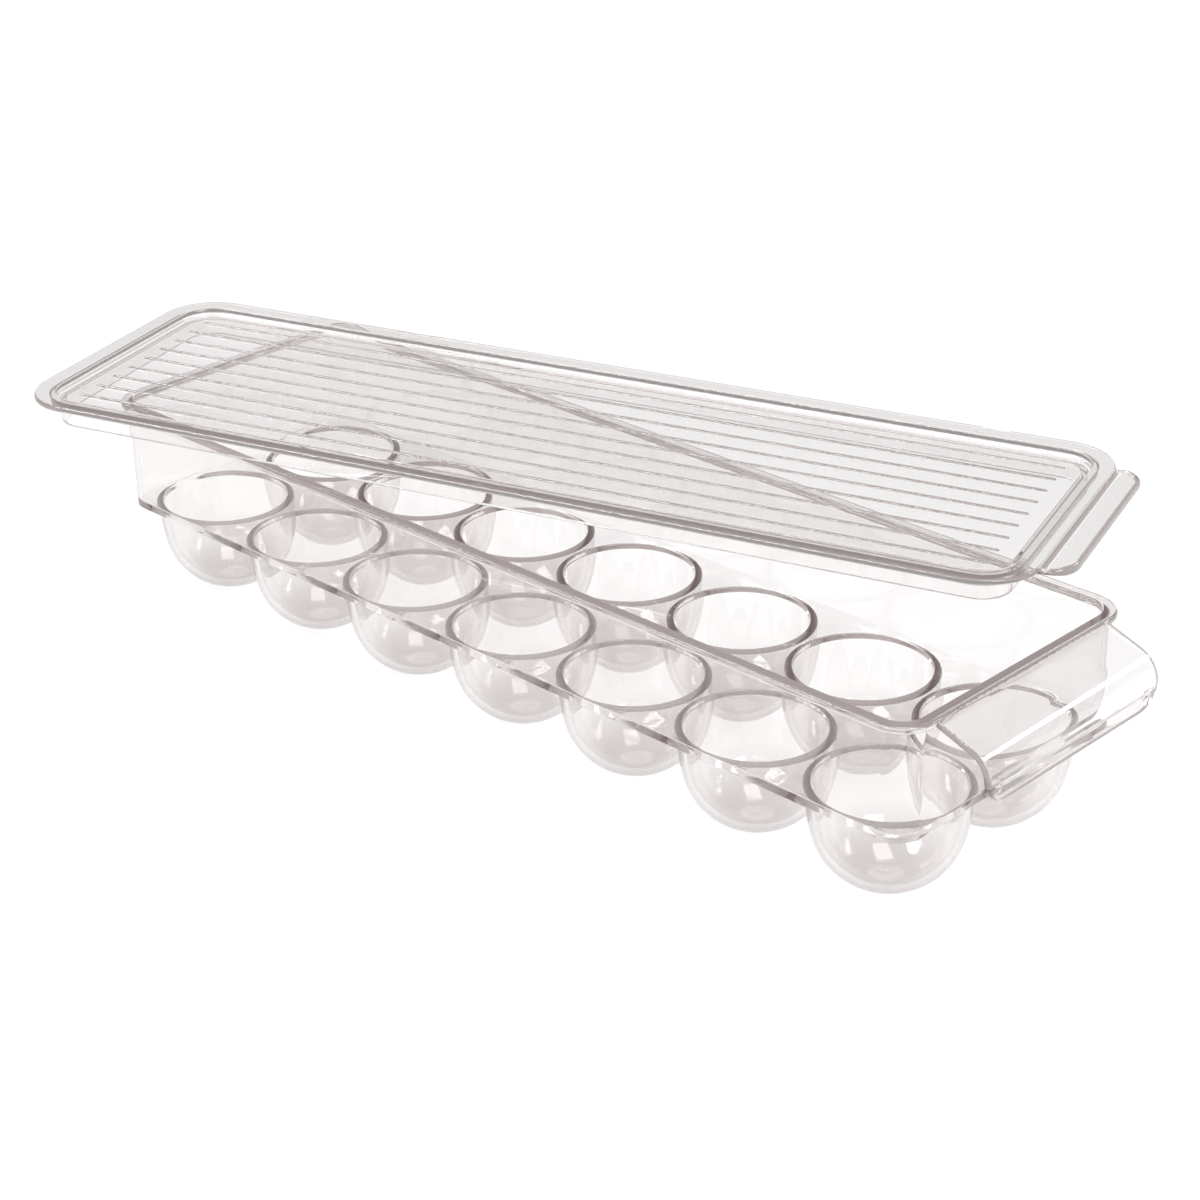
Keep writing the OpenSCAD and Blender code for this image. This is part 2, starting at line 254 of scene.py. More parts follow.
class Shell:
    """A mesh under construction, in millimetres."""

    def __init__(self):
        self.bm = bmesh.new()
        self.known = {}

    def vert(self, x, y, z):
        """The vertex at a place, made if it isn't there yet."""
        key = (round(x, 4), round(y, 4), round(z, 4))
        if key not in self.known:
            self.known[key] = self.bm.verts.new((x * MM, y * MM, z * MM))
        return self.known[key]

    def face(self, verts):
        """A face, unless its corners fall together."""
        kept = []
        for vert in verts:
            if not kept or vert is not kept[-1]:
                kept.append(vert)
        if len(kept) > 1 and kept[0] is kept[-1]:
            kept.pop()
        if len(kept) > 2 and len(set(kept)) == len(kept):
            self.bm.faces.new(kept)

    def band(self, lower, upper, closed=True):
        """Quads between two loops with the same number of points."""
        count = len(lower)
        for index in range(count if closed else count - 1):
            after = (index + 1) % count
            self.face([lower[index], lower[after], upper[after], upper[index]])

    def bands(self, loops, capped=False):
        """Quads between each loop and the next, with a face on both ends if capped."""
        for lower, upper in zip(loops, loops[1:]):
            self.band(lower, upper)
        if capped:
            self.face(loops[0])
            self.face(loops[-1])

    def mesh(self, name):
        """The finished mesh, with its normals turned outwards."""
        self.bm.normal_update()
        bmesh.ops.recalc_face_normals(self.bm, faces=self.bm.faces)
        mesh = bpy.data.meshes.new(name)
        self.bm.to_mesh(mesh)
        self.bm.free()
        return mesh


def add_object(name, mesh):
    """Puts a mesh into the scene as an object."""
    piece = bpy.data.objects.new(name, mesh)
    bpy.context.scene.collection.objects.link(piece)
    return piece


def applied(piece, kind, **values):
    """Adds a modifier, keeps what it makes as the piece's mesh and removes it again."""
    modifier = piece.modifiers.new("shape", kind)
    for key, value in values.items():
        setattr(modifier, key, value)
    graph = bpy.context.evaluated_depsgraph_get()
    mesh = bpy.data.meshes.new_from_object(piece.evaluated_get(graph))
    piece.modifiers.clear()
    old = piece.data
    mesh.name = old.name
    piece.data = mesh
    bpy.data.meshes.remove(old)


def join_solids(piece, cutters, operation):
    """Joins closed meshes to a piece, or cuts them from it, and removes them."""
    for cutter in cutters:
        applied(piece, "BOOLEAN", operation=operation, solver="EXACT", object=cutter)
        bpy.data.objects.remove(cutter)


def smooth(piece, angle=38.0):
    """Smooth shading that keeps sharp edges sharp and flat faces flat."""
    mesh = piece.data
    mesh.polygons.foreach_set("use_smooth", [True] * len(mesh.polygons))
    mesh.set_sharp_from_angle(angle=math.radians(angle))
    applied(piece, "WEIGHTED_NORMAL", mode="FACE_AREA", weight=100, keep_sharp=True)


# ---------------------------------------------------------------- the tray


def cup_arcs(tray):
    """The two arcs of a cup's section: radii, centres and the height where they meet."""
    radius = tray.cup_radius / MM
    bottom = radius - tray.cup_fullness / MM
    bottom_centre = math.sqrt(bottom ** 2 - (tray.foot_radius / MM) ** 2)
    depth = tray.floor_bottom / MM
    drop = depth - bottom_centre
    side = (radius ** 2 + drop ** 2 - bottom ** 2) / (2 * tray.cup_fullness / MM)
    side_centre = radius - side
    meet = depth - side * drop / (side - bottom)
    return bottom, bottom_centre, side, side_centre, meet


def cup_profile(tray, inset, lowest):
    """A cup's section from the floor's underside down to its axis, as (radius, height)."""
    bottom, bottom_centre, side, side_centre, meet = cup_arcs(tray)
    depth = tray.floor_bottom / MM
    points = []
    meet_angle = math.asin((depth - meet) / side)
    for step in range(1, 9):
        angle = meet_angle * step / 8
        points.append((side_centre + (side - inset) * math.cos(angle),
                       depth - (side - inset) * math.sin(angle)))
    start = math.asin((bottom_centre - meet) / bottom)
    end = math.asin(min(1.0, (bottom_centre - lowest) / (bottom - inset)))
    for step in range(1, 15):
        angle = start + (end - start) * step / 14
        points.append(((bottom - inset) * math.cos(angle),
                       bottom_centre - (bottom - inset) * math.sin(angle)))
    flat = points[-1][0]
    points += [(flat * 0.92, lowest), (flat * 0.5, lowest)]
    return points


def side_places(low, high, distance, steps):
    """Places along a side that are evenly spread in angle as seen from a cup's axis."""
    start, end = math.atan2(low, distance), math.atan2(high, distance)
    return [distance * math.tan(start + (end - start) * step / steps) for step in range(steps + 1)]


def cup_sheet(shell, tray, offset, height, ring_rows, profile):
    """One surface of the floor with its fourteen cups.

    offset moves the outer loop out from the inside of the wall, height(x, y) is the floor's height,
    and ring_rows are the rows round each hole as (radius, drop, share of the floor's lift).
    Returns the outline inside the wall with points that line up with the sheet's outer loop."""
    pitch = tray.pitch / MM
    half_x, half_y, corner = tray.half_length / MM, tray.half_width / MM, tray.corner / MM
    edge_x, edge_y = half_x + offset, half_y + offset
    middle = pitch / 2
    corner_x, corner_y = half_x - corner, half_y - corner - middle
    side_x, side_y = [], []

    def floor_vert(x, y, drop=0.0, lift=1.0):
        base = height(0, 0)
        return shell.vert(x, y, base + (height(x, y) - base) * lift - drop)

    def ring(centre_x, centre_y, radius, angles, make):
        return [make(centre_x + radius * math.cos(a), centre_y + radius * math.sin(a)) for a in angles]

    for column in range(COLUMNS):
        centre_x = (column - (COLUMNS - 1) / 2) * pitch
        for row in (-1, 1):
            centre_y = row * middle
            first, last = column == 0, column == COLUMNS - 1
            places_wall = side_places(-middle if not first else -corner_x - centre_x,
                                      middle if not last else corner_x - centre_x, middle - 1, 14)
            reach = edge_y - middle
            places_side = side_places(-reach, middle, middle, 14)
            places_mid = side_places(-middle if not first else -edge_x - centre_x,
                                     middle if not last else edge_x - centre_x, middle, 14)
            places_end = side_places(-corner_y, middle, middle - 1, 12)
            # the boundary for a cup in the near row, counter-clockwise from its lower left
            local = [(value, -reach) for value in places_wall]
            if last:
                local += [(corner_x - centre_x + px, py - corner_y)
                          for px, py in arc((0, 0), corner + offset, -90, 0, 8)[1:-1]]
                local += [(edge_x - centre_x, value) for value in places_end]
            else:
                local += [(middle, value) for value in places_side[1:]]
            local += [(value, middle) for value in places_mid[::-1][1:]]
            if first:
                local += [(-edge_x - centre_x, value) for value in places_end[::-1][1:]]
                local += [(-corner_x - centre_x + px, py - corner_y)
                          for px, py in arc((0, 0), corner + offset, 180, 270, 8)[1:-1]]
            else:
                local += [(-middle, value) for value in places_side[::-1][1:-1]]
            if row > 0:
                local = [(px, -py) for px, py in local][::-1]
            loop = [floor_vert(centre_x + px, centre_y + py) for px, py in local]
            angles = [math.atan2(py, px) for px, py in local]
            rings = [loop]
            for radius, drop, lift in ring_rows:
                rings.append(ring(centre_x, centre_y, radius, angles,
                                  lambda x, y: floor_vert(x, y, drop, lift)))
            for radius, level in profile:
                rings.append(ring(centre_x, centre_y, radius, angles, lambda x, y: shell.vert(x, y, level)))
            shell.bands(rings)
            pole = shell.vert(centre_x, centre_y, profile[-1][1])
            for index, vert in enumerate(rings[-1]):
                shell.face([vert, rings[-1][(index + 1) % len(rings[-1])], pole])
            if row < 0:
                side_x += [centre_x + value for value in places_wall[(0 if first else 1):]]
                if last:
                    side_y = [centre_y + value for value in places_end]
    side_y += [-value for value in side_y[::-1][1:]]
    return outline_points(half_x, half_y, corner, side_x, side_y, 8)


def wall_profile(tray, loop_in, loop_out):
    """The section of the wall and rim from the floor's top to its underside, as (offset, height)."""
    wall, rim_width = tray.wall / MM, tray.rim_width / MM
    top, under = tray.rim_top / MM, (tray.rim_top - tray.rim_height) / MM
    floor_top, floor_bottom = tray.floor_top / MM, tray.floor_bottom / MM
    soft = tray.rim_round / MM
    fillet, foot, under_rim = FLOOR_FILLET, WALL_FOOT, 0.6
    start = -math.degrees(math.acos((fillet + loop_in) / fillet))
    points = arc((-fillet, floor_top + fillet), fillet, start, 0, 3)
    points += [(0, floor_top + 8), (0, floor_top + 20), (0, under - 2)]
    points += arc((soft, top - soft), soft, 180, 90, 5)
    points += [(rim_width / 2, top)]
    points += arc((rim_width - soft, top - soft), soft, 90, 0, 5)
    points += arc((rim_width - soft, under + soft), soft, 0, -90, 5)
    points += arc((wall + under_rim, under - under_rim), under_rim, 90, 180, 3)
    points += [(wall, under - 12), (wall, under - 24)]
    end = -math.degrees(math.acos((foot + loop_out - wall) / foot))
    points += arc((wall - foot, floor_bottom + foot), foot, 0, end, 4)
    return points


def build_tray_shell(tray):
    """The whole tray but its handle, as one closed mesh."""
    shell = Shell()
    floor_top, floor_bottom = tray.floor_top / MM, tray.floor_bottom / MM
    half_x, half_y, corner = tray.half_length / MM, tray.half_width / MM, tray.corner / MM
    wall = tray.wall / MM
    hole = (tray.cup_radius - tray.cup_wall) / MM
    lip = tray.lip_round / MM
    fillet, foot = FLOOR_FILLET, WALL_FOOT
    # the sheets' outer loops lie a little up the fillet and the round foot
    loop_in, loop_out = -0.15, wall - 0.05
    hole_straight, inside_bottom = 0.6, 1.8

    def top_height(x, y):
        reach = max(0.0, fillet - inside_distance(x, y, half_x, half_y, corner))
        return floor_top + fillet - math.sqrt(max(0.0, fillet ** 2 - min(reach, fillet) ** 2))

    def under_height(x, y):
        reach = max(0.0, foot - inside_distance(x, y, half_x + wall, half_y + wall, corner + wall))
        return floor_bottom + foot - math.sqrt(max(0.0, foot ** 2 - min(reach, foot) ** 2))

    lip_rows = []
    for step in range(5):
        angle = math.radians(90 * step / 4)
        lip_rows.append((hole + lip - lip * math.sin(angle), lip - lip * math.cos(angle), 1 - 0.8 * step / 4))
    inner = [(hole, floor_bottom + hole_straight), (hole, floor_bottom)]
    inner += cup_profile(tray, tray.cup_wall / MM, inside_bottom)
    cup_sheet(shell, tray, loop_in, top_height, lip_rows, inner)
    radius = tray.cup_radius / MM
    # a very small fillet where a cup meets the floor's underside
    root_rows = [(radius + 0.03, 0.0, 1.0), (radius + 0.01, 0.06, 0.9), (radius, 0.2, 0.5)]
    points = cup_sheet(shell, tray, loop_out, under_height, root_rows, cup_profile(tray, 0.0, 0.0))
    loops = []
    for offset, level in wall_profile(tray, loop_in, loop_out):
        loops.append([shell.vert(x + nx * offset, y + ny * offset, level) for x, y, nx, ny in points])
    shell.bands(loops)
    return shell.mesh("tray")


def sheet_path(tray, handle):
    """The middle line of the handle's sheet, from inside the rim to the lower edge, as (x, z, nx, nz)."""
    below_rim = 0.3
    top = tray.rim_top / MM - below_rim
    x0 = (tray.half_length + tray.rim_width) / MM
    x1 = x0 + handle.reach / MM
    bend, slope = handle.bend / MM, handle.slope
    bend_x = x1 - bend
    start_x = bend_x + bend * math.sin(slope)
    start_z = top - (start_x - x0) * math.tan(slope)
    bend_z = start_z - bend * math.cos(slope)
    low = (tray.rim_top - handle.drop) / MM
    half = handle.thickness / MM / 2
    path = []
    nx, nz = math.sin(slope), math.cos(slope)
    for share in (-0.22, 0.0, 0.33, 0.66):
        x = x0 + (start_x - x0) * share
        z = top - (x - x0) * math.tan(slope)
        if share < 0:
            z = top
        path.append((x - nx * half, z - nz * half, nx, nz))
    for px, pz in arc((0, 0), 1.0, 90 - math.degrees(slope), 0, 10):
        path.append((bend_x + (bend - half) * px, bend_z + (bend - half) * pz, px, pz))
    for share in (0.25, 0.5, 0.75, 1.0):
        path.append((x1 - half, bend_z + (low - bend_z) * share, 1.0, 0.0))
    return path


def along(path, distance):
    """The point and normal at a distance along a path."""
    for first, second in zip(path, path[1:]):
        step = math.dist(first[:2], second[:2])
        if distance <= step or second is path[-1]:
            share = distance / step
            values = [a + (b - a) * share for a, b in zip(first, second)]
            size = math.hypot(values[2], values[3])
            return values[0], values[1], values[2] / size, values[3] / size
        distance -= step


def build_handle_mesh(tray, handle):
    """The scoop handle as a closed sheet with round edges and a thicker lower lip."""
    shell = Shell()
    path = sheet_path(tray, handle)
    total = sum(math.dist(a[:2], b[:2]) for a, b in zip(path, path[1:]))
    half_w, corner = handle.width / MM / 2, handle.corner / MM
    half_t = handle.thickness / MM / 2
    lip_z, lip_d, lip_ramp = handle.lip_height / MM, handle.lip_depth / MM, 0.9
    rows, columns, flat_share = 30, 56, 0.62

    def reach_at(y, inset):
        """How far the sheet runs along its path at a place across it."""
        edge, round_r = half_w - inset, corner - inset
        over = abs(y) - (edge - round_r)
        end = total - inset
        if over <= 0:
            return end
        return end - round_r + math.sqrt(max(0.0, round_r ** 2 - over ** 2))

    def across(inset):
        """Places across the sheet, closer together round its corners."""
        round_r = corner - inset
        flat = half_w - inset - round_r
        places = []
        for index in range(columns + 1):
            share = -1 + 2 * index / columns
            if abs(share) < flat_share:
                places.append(flat * share / flat_share)
            else:
                bent = (abs(share) - flat_share) / (1 - flat_share) * math.pi / 2
                places.append(math.copysign(flat + round_r * math.sin(bent), share))
        return places

    def grid(inset, level):
        """A grid over the sheet, inset from its edges and raised by a level from the middle."""
        lines = []
        for row in range(rows + 1):
            line = []
            for y in across(inset):
                end = reach_at(y, inset)
                share = row / rows
                x, z, nx, nz = along(path, end * share)
                extra = 0.0
                if level < 0:
                    left = total - end * share
                    extra = lip_d * min(1.0, max(0.0, (lip_z - left) / lip_ramp + 0.5))
                raised = level - extra
                line.append(shell.vert(x + nx * raised, y, z + nz * raised))
            lines.append(line)
        return lines

    front = grid(EDGE_SOFT, half_t)
    back = grid(EDGE_SOFT, -half_t)

    def border(lines):
        loop = [line[0] for line in lines]
        loop += lines[-1][1:-1]
        loop += [line[-1] for line in lines[::-1]]
        return loop + lines[0][1:-1][::-1]

    front_loop, back_loop = border(front), border(back)
    for lines in (front, back):
        for upper, lower in zip(lines, lines[1:]):
            shell.band(upper, lower, closed=False)
    pairs = list(zip(front_loop, back_loop))
    middles = [(one.co + two.co) / 2 for one, two in pairs]
    loops = []
    for step in range(1, 6):
        angle = math.pi * step / 6
        loop = []
        for index, (one, two) in enumerate(pairs):
            a, b = one.co / MM, two.co / MM
            tangent = (middles[(index + 1) % len(middles)] - middles[index - 1]).normalized()
            outward = tangent.cross((b - a).normalized()).normalized()
            loop.append((a.lerp(b, (1 - math.cos(angle)) / 2), outward * (EDGE_SOFT * math.sin(angle))))
        loops.append(loop)
    probe, push = loops[0][rows // 2]
    sign = -1.0 if (push.y > 0) == (probe.y < 0) else 1.0
    rings = [front_loop]
    for loop in loops:
        rings.append([shell.vert(*(point + push * sign)) for point, push in loop])
    rings.append(back_loop)
    shell.bands(rings)
    return shell.mesh("handle")


# ---------------------------------------------------------------- the lid


def build_lid_shell(lid):
    """The lid's panel, raised rim and skirt as one closed mesh, in the lid's own place."""
    shell = Shell()
    half_x, half_y, corner = lid.half_length / MM, lid.half_width / MM, lid.corner / MM
    width, rise, thick = lid.rim_width / MM, lid.rim_rise / MM, lid.rim_thickness / MM
    panel, depth = lid.panel / MM, lid.skirt_depth / MM
    inset, skirt = lid.skirt_inset / MM, lid.skirt_thickness / MM
    under = rise - thick
    # radii of the section's corners
    fillet, inner, outer, small, low = 0.5, 0.6, 0.8, 0.4, 0.6
    points = arc((-fillet, fillet), fillet, -90, 0, 4)
    points += arc((inner, rise - inner), inner, 180, 90, 4)
    points += [(width / 2, rise)]
    points += arc((width - outer, rise - outer), outer, 90, 0, 5)
    points += arc((width - outer, under + outer), outer, 0, -90, 5)
    points += arc((thick + small, under - small), small, 90, 180, 3)
    points += arc((thick - small, -panel + small), small, 0, -90, 3)
    points += arc((-inset + small, -panel - small), small, 90, 180, 3)
    points += arc((-inset - low, -depth + low), low, 0, -90, 4)
    points += arc((-inset - skirt + low, -depth + low), low, -90, -180, 4)
    points += arc((-inset - skirt - low, -panel - low), low, 0, 90, 4)
    side_x = [(half_x - corner) * (-1 + 2 * step / 24) for step in range(25)]
    side_y = [(half_y - corner) * (-1 + 2 * step / 6) for step in range(7)]
    outline = outline_points(half_x, half_y, corner, side_x, side_y, 10)
    loops = [[shell.vert(x + nx * offset, y + ny * offset, level) for x, y, nx, ny in outline]
             for offset, level in points]
    shell.bands(loops, capped=True)
    return shell.mesh("lid")


def build_rib_mesh(lid):
    """The ribs: low round bars with rounded ends, a little sunk into the panel."""
    shell = Shell()
    half_w, rise = lid.rib_width / MM / 2, lid.rib_height / MM
    end = (lid.half_length - lid.rib_inset) / MM
    sunk, thinnest = -0.35, 0.12
    turns = [math.pi / 2 * step / 5 for step in range(6)]
    stations = [(-end + half_w * (1 - math.cos(turn)), math.sin(turn)) for turn in turns]
    stations += [(-end * 0.6, 1.0), (-end * 0.2, 1.0)]
    stations += [(-x, size) for x, size in stations[::-1]]
    for rib in range(RIB_COUNT):
        y0 = (rib - (RIB_COUNT - 1) / 2) * lid.rib_pitch / MM
        loops = []
        for x, size in stations:
            size = max(size, thinnest)
            loop = []
            for step in range(9):
                angle = math.pi * step / 8
                y = -half_w * size * math.cos(angle)
                loop.append(shell.vert(x, y0 + y, rise * size * math.sin(angle) ** 1.25))
            loop.append(shell.vert(x, y0 + half_w * size, sunk))
            loop.append(shell.vert(x, y0 - half_w * size, sunk))
            loops.append(loop)
        shell.bands(loops, capped=True)
    return shell.mesh("ribs")


def tab_outline(lid, inset, steps=7):
    """The pull tab seen from above, open at the rim, from its near side to its far side."""
    x0 = (lid.half_length + lid.rim_width) / MM
    x1 = x0 + lid.tab_reach / MM
    root, outer, corner = lid.tab_root / MM / 2, lid.tab_width / MM / 2, lid.tab_corner / MM
    side = Vector((x1 - x0, outer - root)).normalized()
    turn = math.degrees(math.atan2(side.x, -side.y))
    # centre of the far corner's arc
    centre_x = x1 - corner
    on_line = root + (centre_x - x0) * side.y / side.x
    centre_y = on_line - corner / side.x
    radius = corner - inset
    far = arc((centre_x, centre_y), radius, 0, turn, steps)
    hidden_x = x0 - 3.2  # where the tab ends, inside the rim
    last = far[-1]
    far.append((hidden_x, last[1] - (last[0] - hidden_x) * side.y / side.x))
    near = [(x, -y) for x, y in far[::-1]]
    return near + far


def build_tab_mesh(lid):
    """The pull tab's plate with round edges."""
    shell = Shell()
    # the plate lies a little inside the rim's faces, so that they don't coincide
    sunk, soft = 0.08, EDGE_SOFT
    top, under = lid.rim_rise / MM - sunk, (lid.rim_rise - lid.rim_thickness) / MM + sunk
    loops = []
    for centre, angles in ((top - soft, (90, 60, 30, 0)), (under + soft, (0, -30, -60, -90))):
        for angle in angles:
            inset = soft - soft * math.cos(math.radians(angle))
            level = centre + soft * math.sin(math.radians(angle))
            loops.append([shell.vert(x, y, level) for x, y in tab_outline(lid, inset)])
    shell.bands(loops, capped=True)
    return shell.mesh("tab")


def build_bead_mesh(lid):
    """The bead that turns the tab's outer edge up and down a little."""
    shell = Shell()
    middle = (lid.rim_rise - lid.rim_thickness / 2) / MM
    half_w, half_h, edge = 0.98, 1.55, 0.95
    line = tab_outline(lid, edge)[1:-1]
    loops = []
    for index, (x, y) in enumerate(line):
        before = Vector(line[max(0, index - 1)])
        after = Vector(line[min(len(line) - 1, index + 1)])
        tangent = (after - before).normalized()
        outward = Vector((tangent.y, -tangent.x))
        # the bead grows from 0.55 of its size over four steps at each end
        ends = min(index, len(line) - 1 - index)
        size = min(1.0, 0.55 + 0.45 * ends / 4)
        loop = []
        for step in range(12):
            angle = 2 * math.pi * step / 12
            out = half_w * math.cos(angle) * size
            loop.append(shell.vert(x + outward.x * out, y + outward.y * out,
                                   middle + half_h * math.sin(angle) * size))
        loops.append(loop)
    shell.bands(loops, capped=True)
    return shell.mesh("bead")


def build_groove_mesh(lid):
    """The cutter for the groove along the tab's root and for the two small marks on the far rim."""
    shell = Shell()
    x0 = (lid.half_length + lid.rim_width) / MM
    reach = lid.tab_root / MM / 2 + 6
    top = lid.rim_rise / MM
    half, deep, above = 1.4, 1.65, 1.5
    section = arc((0, 0), 1.0, 180, 360, 8)
    section = [(x0 + half + x * half, top + 0.2 + z * deep) for x, z in section]
    section += [(section[-1][0], top + above), (section[0][0], top + above)]
    loops = [[shell.vert(x, y, z) for x, z in section] for y in (-reach, reach)]
    shell.bands(loops, capped=True)
    mark_y, half_l, half_w = lid.half_width / MM + 2.6, 4.5, 0.6
    for middle in (-84.0, 134.0):  # places of the two marks along the lid
        corners = [(middle + dx, mark_y + dy) for dx, dy in
                   ((-half_l, -half_w), (half_l, -half_w), (half_l, half_w), (-half_l, half_w))]
        loops = [[shell.vert(x, y, level) for x, y in corners] for level in (top - 0.3, top + 1.0)]
        shell.bands(loops, capped=True)
    return shell.mesh("groove")


# ---------------------------------------------------------------- finishes


def group_tree(name, inputs, outputs):
    """An empty shader node group with the given sockets."""
    group = bpy.data.node_groups.new(name, "ShaderNodeTree")
    for label, kind, value in inputs:
        socket = group.interface.new_socket(label, in_out="INPUT", socket_type=kind)
        socket.default_value = value
    for label, kind in outputs:
        group.interface.new_socket(label, in_out="OUTPUT", socket_type=kind)
    entry = group.nodes.new("NodeGroupInput")
    leave = group.nodes.new("NodeGroupOutput")
    return group, entry, leave


def make_node(tree, kind, **values):
    """A node with its settings. A value named in_ and a socket's name or number fills that input,
    or links it if the value is a socket itself."""
    node = tree.nodes.new(kind)
    for key, value in values.items():
        if not key.startswith("in_"):
            setattr(node, key, value)
            continue
        label = key[3:].replace("_", " ")
        socket = node.inputs[int(label) if label.isdigit() else label]
        if isinstance(value, bpy.types.NodeSocket):
            tree.links.new(value, socket)
        else:
            socket.default_value = value
    return node


def math_node(tree, operation, first, second):
    """What a Math node makes of two inputs, each a number or a socket."""
    return make_node(tree, "ShaderNodeMath", operation=operation, in_0=first, in_1=second).outputs["Value"]


def ramp_node(tree, value, low, high, **values):
    """A value's place between two others, from 0 to 1 and smooth at both ends."""
    return make_node(tree, "ShaderNodeMapRange", interpolation_type="SMOOTHSTEP", in_Value=value,
                     in_From_Min=low, in_From_Max=high, **values).outputs["Result"]


def empty_tree(owner):
    """The empty node tree of a new material or world."""
    owner.use_nodes = True
    owner.node_tree.nodes.clear()
    return owner.node_tree


def moulding_flow_group():
    """Slow waves left by the flow of the plastic in its mould, and fine hairline marks."""
    group, entry, leave = group_tree(
        "Moulding flow",
        [("Wave size", "NodeSocketFloat", 40.0), ("Mark size", "NodeSocketFloat", 900.0),
         ("Mark amount", "NodeSocketFloat", 0.5)],
        [("Height", "NodeSocketFloat"), ("Marks", "NodeSocketFloat")])
    place = make_node(group, "ShaderNodeTexCoord").outputs["Object"]
    wave = make_node(group, "ShaderNodeTexNoise", in_Vector=place, in_Scale=entry.outputs["Wave size"],
                     in_Detail=1.5, in_Roughness=0.4)
    stretch = make_node(group, "ShaderNodeMapping", vector_type="POINT", in_Vector=place,
                        in_Scale=(0.12, 1.0, 1.0))
    hair = make_node(group, "ShaderNodeTexNoise", in_Vector=stretch.outputs["Vector"],
                     in_Scale=entry.outputs["Mark size"], in_Detail=3.0, in_Roughness=0.6)
    # only the highest parts of the stretched noise show as marks
    marks = ramp_node(group, hair.outputs["Fac"], 0.60, 0.78)
    group.links.new(wave.outputs["Fac"], leave.inputs["Height"])
    group.links.new(math_node(group, "MULTIPLY", marks, entry.outputs["Mark amount"]), leave.inputs["Marks"])
    return group


def painted_height_shade_group():
    """A painted shade in the colour that sets in between two heights, such as a thick rim gets from the light
    inside it.
    """
    group, entry, leave = group_tree(
        "Painted height shade",
        [("Lower height", "NodeSocketFloat", 0.0), ("Upper height", "NodeSocketFloat", 0.001),
         ("Clear", "NodeSocketColor", WHITE), ("Shade", "NodeSocketColor", WHITE)],
        [("Color", "NodeSocketColor")])
    place = make_node(group, "ShaderNodeTexCoord")
    split = make_node(group, "ShaderNodeSeparateXYZ", in_Vector=place.outputs["Object"])
    share = ramp_node(group, split.outputs["Z"], entry.outputs["Lower height"], entry.outputs["Upper height"])
    mix = make_node(group, "ShaderNodeMix", data_type="RGBA", in_Factor=share,
                    in_A=entry.outputs["Clear"], in_B=entry.outputs["Shade"])
    group.links.new(mix.outputs["Result"], leave.inputs["Color"])
    return group


GROUP_BUILDERS = {"Moulding flow": moulding_flow_group, "Painted height shade": painted_height_shade_group}


def group_node(tree, name, **values):
    """A node for one of the shared groups, which is built if it isn't there yet."""
    group = bpy.data.node_groups.get(name) or GROUP_BUILDERS[name]()
    return make_node(tree, "ShaderNodeGroup", node_tree=group, **values)


def clear_plastic(name, plastic, shade, level, heights, waves):
    """Clear moulded plastic that darkens and warms along its edges, by real absorption inside it and by
    painted shade and a painted glow.

    The painted shade of the rim sets in between two heights from a level, and waves are those of its surface."""
    material = bpy.data.materials.new(name)
    tree = empty_tree(material)
    # painted shade of the rim, by height
    rim = group_node(tree, "Painted height shade", in_Lower_height=level + heights[0] * MM,
                     in_Upper_height=level + heights[1] * MM, in_Clear=(1.0, 0.995, 0.995, 1.0),
                     in_Shade=(*shade, 1.0))
    # painted shade of the cups close to the floor
    foot = group_node(tree, "Painted height shade", in_Lower_height=plastic.painted_foot_shade_top, in_Upper_height=plastic.painted_foot_shade_full,
                      in_Clear=rim.outputs["Color"], in_Shade=(*plastic.foot, 1.0))
    # the painted grazing shade darkens the colour where the surface turns well away from the eye
    facing = make_node(tree, "ShaderNodeLayerWeight", in_Blend=0.5)
    painted_shade_tone = make_node(tree, "ShaderNodeMix", data_type="RGBA", blend_type="MULTIPLY",
                     in_Factor=ramp_node(tree, facing.outputs["Facing"], 0.62, 1.0),
                     in_A=foot.outputs["Color"], in_B=(*plastic.grazing, 1.0))
    flow = group_node(tree, "Moulding flow", in_Wave_size=waves[0], in_Mark_size=plastic.mark_size,
                      in_Mark_amount=plastic.marks)
    bump = make_node(tree, "ShaderNodeBump", in_Strength=1.0, in_Distance=waves[1],
                     in_Height=flow.outputs["Height"])
    shader = make_node(tree, "ShaderNodeBsdfPrincipled", in_Base_Color=painted_shade_tone.outputs["Result"],
                       in_Roughness=math_node(tree, "ADD", flow.outputs["Marks"], plastic.roughness),
                       in_IOR=plastic.ior, in_Normal=bump.outputs["Normal"], in_Transmission_Weight=1.0)
    rays = make_node(tree, "ShaderNodeLightPath")
    through = make_node(tree, "ShaderNodeBsdfTransparent", in_Color=(*plastic.shadow, 1.0))
    mix = make_node(tree, "ShaderNodeMixShader", in_Fac=rays.outputs["Is Shadow Ray"],
                    in_1=shader.outputs["BSDF"], in_2=through.outputs["BSDF"])
    # painted glow: light that is caught in the plastic for a long way ends in an emission of the edge colour
    deep = math_node(tree, "GREATER_THAN", rays.outputs["Glossy Depth"], plastic.depth)
    caught = make_node(tree, "ShaderNodeEmission", in_Color=(*plastic.edge, 1.0), in_Strength=1.0)
    last = make_node(tree, "ShaderNodeMixShader", in_Fac=deep, in_1=mix.outputs["Shader"],
                     in_2=caught.outputs["Emission"])
    absorb = make_node(tree, "ShaderNodeVolumeAbsorption", in_Color=(*plastic.tint, 1.0),
                       in_Density=plastic.density)
    make_node(tree, "ShaderNodeOutputMaterial", in_Surface=last.outputs["Shader"],
              in_Volume=absorb.outputs["Volume"])
    return material


# ---------------------------------------------------------------- operators


def settings():
    """All the settings, from the scene."""
    return [getattr(bpy.context.scene, name) for name in GROUPS]


